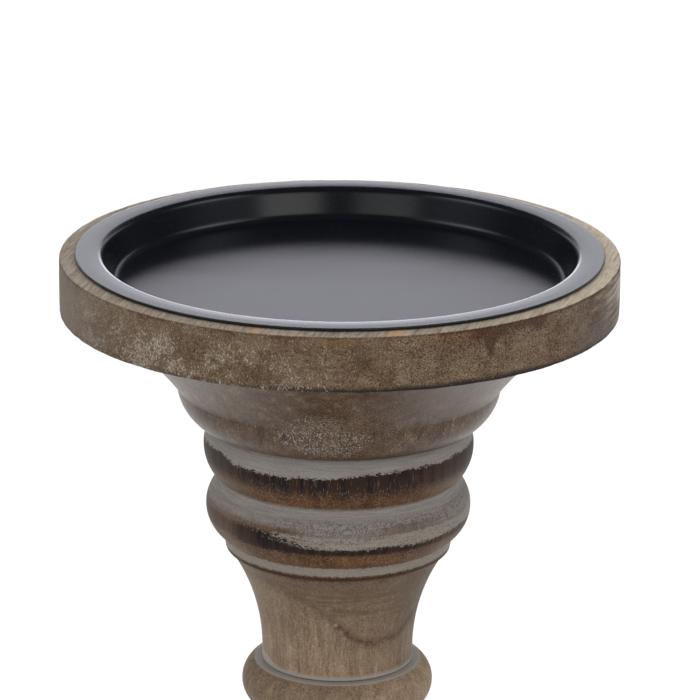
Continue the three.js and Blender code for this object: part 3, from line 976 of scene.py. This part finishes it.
def plate_finish(name, down_at, raw_radius, turn):
    """Stained boards with whitewash in the pores, raw where `down_at` gives 0 and inside `raw_radius`."""
    wood = Finish(name, sheen=0.15, turn=turn)
    down = down_at(wood.height)
    along_grain = wood.rotated(wood.place, 0, 0, PLATE_GRAIN_DEGREES)
    fibres = wood.clouds(wood.stretched(along_grain, (0.4, 5.0, 0.4)), 3, 0.65)
    streaks = wood.clouds(wood.stretched(along_grain, (1.6, 24, 1.3)), 3, 0.6)
    stains = wood.grains((9, 9, 7), 4, 0.6)
    grit = wood.grains((0.36, 0.36, 0.3), 2, 0.65)
    ragged = (grit - 0.5) * 1.5 + (stains - 0.5) * 3

    # Stain, with a painted glare at the right edge and painted shade along the lower edge
    shade = fibres * 0.35 + grit * 0.5 + streaks * 0.25 + stains * 0.4 - 0.25
    stain = wood.ramp(shade, [
        (0.28, tone(52, 38, 28)),
        (0.42, tone(86, 68, 52)),
        (0.52, tone(106, 89, 71)),
        (0.62, tone(124, 108, 90)),
        (0.74, tone(150, 138, 124)),
    ])
    greyer = 1 - wood.rise(wood.angle, -75, -42)
    wood.colour = wood.laid(stain, tone(106, 97, 88), greyer * 0.5)
    weathered = wood.rise(wood.angle + (stains - 0.5) * 30, 48, 66)
    tan_streaks = wood.rise(streaks, 0.45, 0.6) * (1 - wood.rise(down, 4, 9))
    wood.coat(tone(84, 76, 72), weathered * (0.3 + 0.5 * wood.rise(streaks, 0.4, 0.6)))
    wood.coat(tone(140, 120, 98), weathered * tan_streaks * 0.7)
    # Silvery towards the right edge: partly weathering, partly a painted highlight of the glare there
    silver_wear_and_painted_glare = wood.rise(wood.angle + (streaks - 0.5) * 50, 68, 90)
    wood.coat(tone(190, 183, 174), silver_wear_and_painted_glare * (0.15 + 0.45 * wood.rise(streaks, 0.35, 0.6)))
    orange = wood.maths(
        "MAXIMUM",
        wood.blot(-1, 6, down, 0.9, 1.1, ragged * 1.5),
        wood.blot(25, 11, down, 1.2, 1.4, ragged * 1.5),
    )
    wood.coat(tone(118, 84, 50), orange * 0.28)
    red_brown = wood.maths(
        "MAXIMUM",
        wood.blot(39, 12, down, 0.4, 3.4, ragged),
        wood.blot(31, 1.5, down, 2, 6, ragged),
    )
    wood.coat(tone(66, 44, 33), red_brown * 0.72)
    right_side = wood.rise(wood.angle, -5, 20)
    pores = 1 - wood.rise(grit - right_side * 0.055, 0.33, 0.38)
    wood.coat(tone(48, 34, 25), pores * (0.55 + 0.35 * right_side))
    top_edge = 1 - wood.rise(down + (stains - 0.5) * 2.5, 0.3, 1.0)
    wood.coat(tone(66, 48, 35), top_edge * (0.35 + 0.45 * wood.rise(wood.angle, 5, 25)))
    # Darker along the lower edge, most towards the front: partly dark staining, partly painted shade under
    # the plate's overhang
    under_middle = wood.between(wood.angle, -12, 60, 16)
    stain_and_painted_shade = wood.rise(down + (stains - 0.5) * 2, 11.2, 12.6) * (0.3 + 0.6 * under_middle)
    wood.coat(tone(34, 25, 19), stain_and_painted_shade)

    # Whitewash caught in the pores
    left_side = wood.between(wood.angle, -62, -8, 16) * wood.rise(down, 2, 6)
    cluster = left_side * wood.rise(stains + (streaks - 0.5) * 0.5, 0.38, 0.62)
    white = whitewash(wood, cluster * 1.25 + 0.15 - right_side * 0.4)
    wood.coat(tone(170, 163, 153), white * 0.8)
    out_squared = wood.x * wood.x + wood.y * wood.y
    at_side = wood.rise(out_squared, (PLATE_RADIUS - 2.5) ** 2, (PLATE_RADIUS - 1) ** 2)
    wood.colour = wood.laid(stain, wood.colour, at_side)

    # Raw wood of the ledge and the recess
    strokes = wood.clouds(wood.stretched(along_grain, (0.5, 9, 3)), 4, 0.7, 0.4)
    raw = wood.ramp(strokes * 0.65 + grit * 0.35, [
        (0.34, tone(98, 82, 66)),
        (0.46, tone(142, 130, 115)),
        (0.58, tone(164, 153, 138)),
        (0.7, tone(196, 187, 174)),
    ])
    raw = wood.laid(raw, tone(214, 199, 178), wood.rise(wood.angle, 15, 70) * (0.3 + 0.4 * strokes))
    thin = wood.clouds(wood.stretched(along_grain, (0.28, 6, 3)), 3, 0.7, 0.5)
    raw = wood.laid(raw, tone(84, 68, 53), wood.rise(thin, 0.56, 0.64) * 0.65)
    across_grain = wood.part(along_grain, "X")
    frayed = across_grain + (grit - 0.5) * 4
    stripes = wood.maths(
        "MAXIMUM", wood.between(frayed, -3.2, -1.2, 0.8), wood.between(frayed, 26.3, 29.6, 1.0),
    )
    raw = wood.laid(raw, tone(184, 146, 102), stripes * 0.7)
    bare = 1 - wood.rise(down + (grit - 0.5) * 0.5, 0.12, 0.32)
    inside = 1 - wood.rise(out_squared, (raw_radius + 0.1) ** 2, (raw_radius + 0.6) ** 2)
    bare = wood.maths("MAXIMUM", bare, inside)
    wood.coat(raw, bare)
    relief = fibres * 0.6 + grit * 0.5 + streaks * 0.4 + white * 0.3
    return wood.finished(0.5 + fibres * 0.12 + bare * 0.1, relief, 0.16)


def stained_wood(wood, patchy, stops):
    """Colours the upright grain of the turned pieces, and gives back the noises that it is made of."""
    fibres = wood.grains((0.4, 0.4, 4.0), 3, 0.65)
    streaks = wood.grains((1.7, 1.7, 24), 3, 0.55)
    stains = wood.grains((8, 8, 6), 4, 0.6)
    grit = wood.grains((0.4, 0.4, 0.36), 2, 0.65)
    shade = fibres * 0.35 + grit * 0.45 + (streaks * 0.5 + stains * 0.4 - 0.45) * patchy + 0.1
    wood.colour = wood.ramp(shade, stops)
    return fibres, streaks, stains, grit


def flare_finish(name, down_at, turn):
    """Stained brown and rubbed with whitewash, which stays in the open pores."""
    wood = Finish(name, sheen=0.24, turn=turn)
    down = down_at(wood.height)
    fibres, streaks, stains, grit = stained_wood(wood, 0.7, [
        (0.3, tone(42, 29, 21)),
        (0.42, tone(68, 52, 39)),
        (0.52, tone(86, 68, 53)),
        (0.6, tone(104, 86, 70)),
        (0.7, tone(136, 122, 107)),
    ])
    violet = wood.between(wood.angle + (stains - 0.5) * 40, 12, 62, 12) * (1 - wood.rise(down, 22, 34))
    wood.coat(tone(86, 74, 69), violet * 0.45)
    cluster = wood.blot(-6, 15, down, 32.6, 5.5, (stains - 0.5) * 4 + (streaks - 0.5) * 2)
    white = whitewash(wood, cluster)
    wood.coat(tone(160, 152, 142), white * 0.75)
    end = wood.rise(down + (stains - 0.5) * 2, flare_down_end - 1.8, flare_down_end)
    wood.coat(tone(42, 31, 25), end * (0.35 + 0.45 * wood.rise(wood.angle, -25, 20)))
    relief = fibres * 0.6 + grit * 0.4 + streaks * 0.3 + white * 0.2
    return wood.finished(0.24 + fibres * 0.14, relief, 0.14)


def painted_beads(wood, from_collar, noises):
    """Scorched and grey-painted bands, laid over the stained wood at their distances from the collar."""
    fibres, streaks, stains, grit = noises
    angle = wood.angle
    nicks = wood.grains((0.9, 0.9, 0.34), 3, 0.75)
    flecks = wood.grains((0.3, 0.3, 2.4), 2, 0.6)
    torn = from_collar + (nicks - 0.5) * 3.0 + (flecks - 0.5) * 1.6 + (stains - 0.5) * 2.0
    frayed = from_collar + (nicks - 0.5) * 1.4 + (flecks - 0.5) * 1.4
    soft = from_collar + (flecks - 0.5) * 4 + (nicks - 0.5) * 2
    brushed = wood.grains((7, 7, 0.3), 3, 0.6)
    brushing = wood.rise(brushed * 0.6 + grit * 0.4, 0.36, 0.64)
    grey = wood.laid(tone(124, 118, 112), tone(141, 137, 133), brushing)
    rubbing = wood.rise(nicks * 0.3 + brushed * 0.3 + grit * 0.4, 0.4, 0.54)
    pale = wood.laid(tone(104, 94, 84), tone(134, 127, 118), rubbing)
    burnt = wood.laid(tone(36, 26, 23), tone(54, 41, 34), wood.rise(streaks, 0.4, 0.62))
    brown = wood.ramp(grit * 0.6 + stains * 0.2 + streaks * 0.2, [
        (0.34, tone(44, 31, 24)),
        (0.45, tone(72, 52, 38)),
        (0.55, tone(98, 74, 55)),
        (0.66, tone(136, 110, 84)),
    ])
    brown = wood.laid(brown, tone(100, 64, 44), wood.rise(stains, 0.48, 0.66) * 0.3)
    # Paler, greyer brown towards both sides: a painted sheen of the grazing sides
    sides = 1 - wood.between(angle, -46, 46, 12)
    brown = wood.laid(brown, tone(108, 94, 82), sides * 0.55)

    # Bare brown wood over both beads, then the paint of the valley and of the step
    wood.coat(brown, 1 - wood.rise(torn, 31.4, 33.0))
    # The valley's paint is made lighter where the valley is deepest: painted light that offsets the shade
    # there
    valley_paint_painted_lighter = wood.scaled(grey, 1 + 0.22 * wood.between(from_collar, 13.5, 15.8, 0.8))
    wood.coat(valley_paint_painted_lighter, wood.rise(frayed, 12.5, 14.1) * (1 - wood.rise(torn, 19, 19.8)))
    dots = wood.rise(fibres * 0.4 + grit * 0.6, 0.49, 0.54) * wood.between(from_collar, 15.8, 19.6, 1.2)
    wood.coat(tone(80, 68, 58), dots * (0.3 + 0.35 * wood.rise(angle, -45, -15)))
    ends = from_collar + (nicks - 0.5) * 1.1 + (flecks - 0.5) * 0.9
    wood.coat(wood.laid(pale, tone(124, 117, 107), 0.5), wood.between(ends, 28.3, 30.5, 0.3))

    # First bead: grey down to a torn edge, scorched below it
    edge = 4.0 + 1.3 * wood.between(angle, -54, 1, 7)
    below = wood.rise(torn - edge, -0.15, 0.15)
    scorch = below * (1 - wood.rise(soft, 7.3, 11.2)) * (0.8 + 0.2 * wood.between(angle, -42, 30, 12))
    wood.coat(grey, 1 - below)
    wood.coat(burnt, scorch)
    fine = wood.grains((0.18, 0.18, 6), 1, 0.5)
    scratches = wood.rise(fine, 0.65, 0.71) * wood.between(soft, 5.6, 9.6, 0.8)
    scratches = scratches * wood.between(angle, -46, 34, 8)
    wood.coat(tone(146, 136, 126), scratches * 0.55)
    shoulder_line = 1 - wood.rise(from_collar, 0.4, 1.1)
    wood.coat(tone(50, 40, 33), shoulder_line * 0.7)

    # Second bead: worn brown at its left, scorched under a pale torn patch, and a dark line under the step
    worn = wood.between(frayed, 18.0, 20.4, 0.7) * (1 - wood.rise(angle + (nicks - 0.5) * 30, -24, -8))
    worn = wood.maths("MAXIMUM", worn, 0.6 * wood.blot(34, 18, from_collar, 18.4, 1.3, (nicks - 0.5) * 6))
    wood.coat(wood.scaled(brown, 1.05), worn * 0.85)
    scorched = wood.between(frayed, 19.3, 23.9, 0.5)
    solid = wood.rise(angle + (nicks - 0.5) * 40, -58, -44)
    ending = wood.rise(23.0 - from_collar + (flecks - 0.5) * 5, -0.6, 0.6)
    # Less scorched towards both sides: painted sheen there
    wood.coat(burnt, scorched * (1 - 0.4 * sides) * (solid + (1 - solid) * 0.75 * ending))
    slanted = angle - from_collar * 6 + (nicks - 0.5) * 90
    patch = wood.rise(frayed, 19.0, 19.6) * (1 - wood.rise(torn, 22.0, 22.4))
    patch = patch * wood.rise(slanted, -152, -140)
    wood.coat(pale, patch)
    under_step = wood.between(frayed, 30.6, 31.9, 0.4)
    wood.coat(tone(54, 39, 30), under_step * 0.8)


def stem_finish(name, from_collar, turn, grooves):
    """Stained wood whose beads were scorched, brushed with grey paint and rubbed back."""
    wood = Finish(name, sheen=0.12, turn=turn)
    height = wood.height
    noises = stained_wood(wood, 0.35, [
        (0.28, tone(78, 62, 48)),
        (0.42, tone(104, 87, 71)),
        (0.52, tone(122, 104, 86)),
        (0.62, tone(138, 121, 103)),
        (0.74, tone(158, 144, 128)),
    ])
    fibres, streaks, stains, grit = noises
    neck_figure(wood, stains, grit)
    painted_beads(wood, from_collar(height), noises)
    frayed_height = height + (fibres - 0.5) * 1.2
    groove_top = neck_bottom + 0.9 + 1.4 * (1 - wood.rise(wood.angle, -75, -45))
    groove = wood.rise(height, neck_bottom - 0.5, neck_bottom - 0.2)
    groove = groove * wood.rise(groove_top - frayed_height, -0.7, 0.5)
    for bottom, top in grooves:
        groove = wood.maths("MAXIMUM", groove, wood.between(frayed_height, bottom, top, 0.4))
    wood.coat(tone(152, 149, 144), groove * 0.8)
    relief = fibres * 0.6 + grit * 0.4 + streaks * 0.3
    return wood.finished(0.46 + fibres * 0.14, relief, 0.13)


def neck_figure(wood, stains, grit):
    """The neck's figure: a dark arc with small knots, wavy grain above it and straight stripes below."""
    angle = wood.angle
    arc_down = 74 + 16.1 * wood.rise(angle, -45, 28) - 4.5 * wood.rise(angle, 44, 70)
    past_arc = wood.down - arc_down + (stains - 0.5) * 3 + (grit - 0.5) * 2.4
    lighter_down = 0.84 + 0.3 * wood.rise(wood.down, 70, 97) + 0.12 * wood.rise(wood.down, 92, 98)
    lighter_left = 0.12 * (1 - wood.rise(angle, -50, -22)) * (1 - wood.rise(wood.down, 79, 86))
    darker_right = 1 - 0.24 * wood.rise(angle, 28, 52)
    stripes = wood.grains((1.5, 1.5, 30), 3, 0.7)
    stripe_shade = wood.rise(stripes, 0.34, 0.66) * wood.rise(past_arc, 0, 5)
    shade = (lighter_down + lighter_left) * darker_right * (0.86 + 0.28 * stripe_shade)
    wood.colour = wood.scaled(wood.colour, shade)
    waves = wood.grains((12, 12, 0.8), 3, 0.6, 0.6)
    upper = wood.between(wood.down, 71, 83, 2) * wood.between(angle, -50, 90, 12)
    upper = upper * (1 - wood.rise(past_arc, -2, 1))
    wood.coat(tone(92, 74, 58), wood.rise(waves, 0.45, 0.62) * upper * 0.6)
    on_arc = wood.between(angle, -46, 74, 10) * (0.5 + 0.5 * wood.rise(angle, -10, 22))
    from_arc = wood.maths("ABSOLUTE", past_arc)
    dashes = wood.grains((0.9, 0.9, 0.7), 2, 0.6)
    dotted = wood.rise(dashes * 0.6 + grit * 0.4, 0.4, 0.56)
    halo = (1 - wood.rise(from_arc, 0.2, 2.4)) * on_arc
    core = (1 - wood.rise(from_arc, 0.1, 1.0)) * on_arc
    wood.coat(tone(92, 74, 60), halo * (0.3 + 0.4 * dotted))
    wood.coat(tone(70, 53, 42), core * dotted * 0.65)
    knots = wood.maths(
        "MAXIMUM",
        wood.blot(0.5, 2.6, wood.down, 85.2, 0.9, grit - 0.5),
        wood.blot(6.5, 2.2, wood.down, 87, 0.8, grit - 0.5),
    )
    wood.coat(tone(70, 54, 44), knots * 0.45)
    middle = wood.blot(-1, 1.4, wood.down, 84.6, 0.4, grit - 0.5)
    wood.coat(tone(150, 142, 134), middle * 0.5)


def steel_finish():
    """Satin black powder coat, faintly uneven, with a little dust."""
    steel = Finish("black_powder_coat")
    peel = steel.grains((1.2, 1.2, 1.2), 2, 0.5)
    haze = steel.grains((22, 14, 10), 2, 0.5)
    dust = steel.rise(steel.grains((0.35, 0.35, 0.35), 1, 0.5), 0.7, 0.8)
    steel.colour = steel.laid(DISH_BLACK, DISH_DUST, dust * 0.5)
    roughness = DISH_ROUGHNESS + (haze - 0.5) * 0.08 + (peel - 0.5) * 0.05 + dust * 0.1
    return steel.finished(roughness, peel, 0.0015)


def zinc_finish():
    """Bright zinc plate, with fine machining lines and a few dull spots."""
    zinc = Finish("zinc_plate", metallic=1.0)
    lines = zinc.grains((3, 3, 0.08), 2, 0.6)
    spots = zinc.grains((2.5, 2.5, 2.5), 3, 0.6)
    zinc.colour = zinc.laid(ZINC_BRIGHT, ZINC_DULL, zinc.rise(spots, 0.5, 0.68))
    return zinc.finished(0.22 + spots * 0.25, lines, 0.01)


def felt_finish():
    """Pressed grey felt: short fibres lying every way."""
    felt = Finish("grey_felt")
    fibres = felt.grains((0.5, 0.12, 0.3), 2, 0.6, 1.5)
    crossed = felt.grains((0.12, 0.5, 0.3), 2, 0.6, 1.5)
    lint = felt.maths("MAXIMUM", fibres, crossed)
    felt.colour = felt.ramp(lint, [
        (0.35, (0.028, 0.026, 0.024, 1)),
        (0.55, (0.065, 0.061, 0.056, 1)),
        (0.75, (0.13, 0.125, 0.115, 1)),
    ])
    return felt.finished(0.95, lint, 0.15)


def dress(material, *pieces):
    for piece in pieces:
        piece.data.materials.clear()
        piece.data.materials.append(material)


flare_down_end = plate_top - flare_bottom
flare_down_start = plate_top - flare_top
base_share = (plate_top - plate_bottom) / (base_top - base_bottom)


def top_down(height):
    return plate_top - height


def base_collar_down(height):
    return height - foot_bottom + flare_down_start


def base_plate_down(height):
    """The base plate's depth as if it were as thin as the top plate, and nowhere raw."""
    return (base_top - height) * base_share + 0.5


dress(plate_finish("stained_top_plate", top_down, RECESS_RADIUS, 0), plate)
dress(plate_finish("stained_base_plate", base_plate_down, POCKET_RADIUS, LOWER_TURN), base)
dress(flare_finish("stained_flare_collar", top_down, 0), flare)
dress(flare_finish("stained_base_collar", base_collar_down, LOWER_TURN), foot)
dress(stem_finish("painted_upper_stem", lambda height: stem_top - height, 0, ()), neck)
lower_stem_paint = stem_finish(
    "painted_lower_stem", lambda height: height - vase_bottom, LOWER_TURN, LOWER_GROOVES,
)
dress(lower_stem_paint, vase)
dress(steel_finish(), dish)
dress(zinc_finish(), *hardware)
dress(felt_finish(), *pads)


# Studio: a plain white floor, soft light all round and two softboxes beside the camera

def studio_floor():
    deselect_all()
    bpy.ops.mesh.primitive_circle_add(vertices=64, radius=FLOOR_RADIUS_METRES, fill_type="NGON")
    floor = bpy.context.object
    floor.name = "floor"
    paper = Finish("white_paper", sheen=0.1)
    paper.give("Base Color", FLOOR_WHITE)
    paper.give("Roughness", 0.9)
    dress(paper.material, floor)


def studio_light():
    """Even light, but surfaces mirror a low wall of light behind and a high light on each side."""
    world = bpy.data.worlds.new("studio")
    bpy.context.scene.world = world
    world.use_nodes = True
    room = Recipe(world.node_tree)
    way = room.add("ShaderNodeTexCoord", {}, {}, "Generated")
    across = room.part(way, "X")
    back = room.part(way, "Y")
    up = room.part(way, "Z")
    wall_height = room.rise(up, *WALL_BOTTOM) * (1 - room.rise(up, *WALL_TOP))
    sideways = room.maths("ABSOLUTE", across)
    low_ends = room.rise(sideways, *WALL_NARROW) * (1 - room.rise(up, *WALL_LOW_PART))
    wall = WALL_LIGHT * room.rise(back, *WALL_BACK) * wall_height * (1 - low_ends)
    beside = room.rise(sideways, *SIDE_FROM)
    sides = SIDE_LIGHT * beside * room.rise(up, *SIDE_BOTTOM) * (1 - room.rise(back, *SIDE_BACK))
    mirrored = room.scaled(MIRRORED_COLOUR, wall + sides + ROOM_LIGHT)
    shiny = room.add("ShaderNodeLightPath", {}, {}, "Is Glossy Ray")
    background = world.node_tree.nodes["Background"]
    soft = (SOFT_LIGHT, SOFT_LIGHT, SOFT_LIGHT, 1)
    room.feed(background.inputs["Color"], room.laid(soft, mirrored, shiny))
    for azimuth, power in SOFTBOXES:
        softbox(math.radians(azimuth), power)


def softbox(azimuth, power):
    light = bpy.data.lights.new("softbox", "AREA")
    light.shape = "RECTANGLE"
    light.size = SOFTBOX_WIDTH
    light.size_y = SOFTBOX_HEIGHT
    light.energy = power
    lamp = bpy.data.objects.new("softbox", light)
    bpy.context.scene.collection.objects.link(lamp)
    rise = math.radians(SOFTBOX_ELEVATION)
    away = Vector((math.cos(rise) * math.sin(azimuth), -math.cos(rise) * math.cos(azimuth), math.sin(rise)))
    lamp.location = away * SOFTBOX_DISTANCE + Vector((0, 0, plate_top * MM))
    lamp.rotation_euler = (-away).to_track_quat("-Z", "Y").to_euler()


def photo_camera():
    data = bpy.data.cameras.new("camera")
    data.sensor_width = SENSOR_WIDTH
    data.lens = FOCAL_LENGTH_PIXELS / PHOTO_PIXELS * SENSOR_WIDTH
    camera = bpy.data.objects.new("camera", data)
    bpy.context.scene.collection.objects.link(camera)
    tilt = Matrix.Rotation(math.pi / 2 - CAMERA_DIP, 4, "X")
    roll = Matrix.Rotation(CAMERA_ROLL, 4, "Z")
    camera.matrix_world = Matrix.Translation(CAMERA_PLACE) @ tilt @ roll
    bpy.context.scene.camera = camera


studio_floor()
studio_light()
photo_camera()
bpy.context.scene.view_settings.view_transform = "Standard"
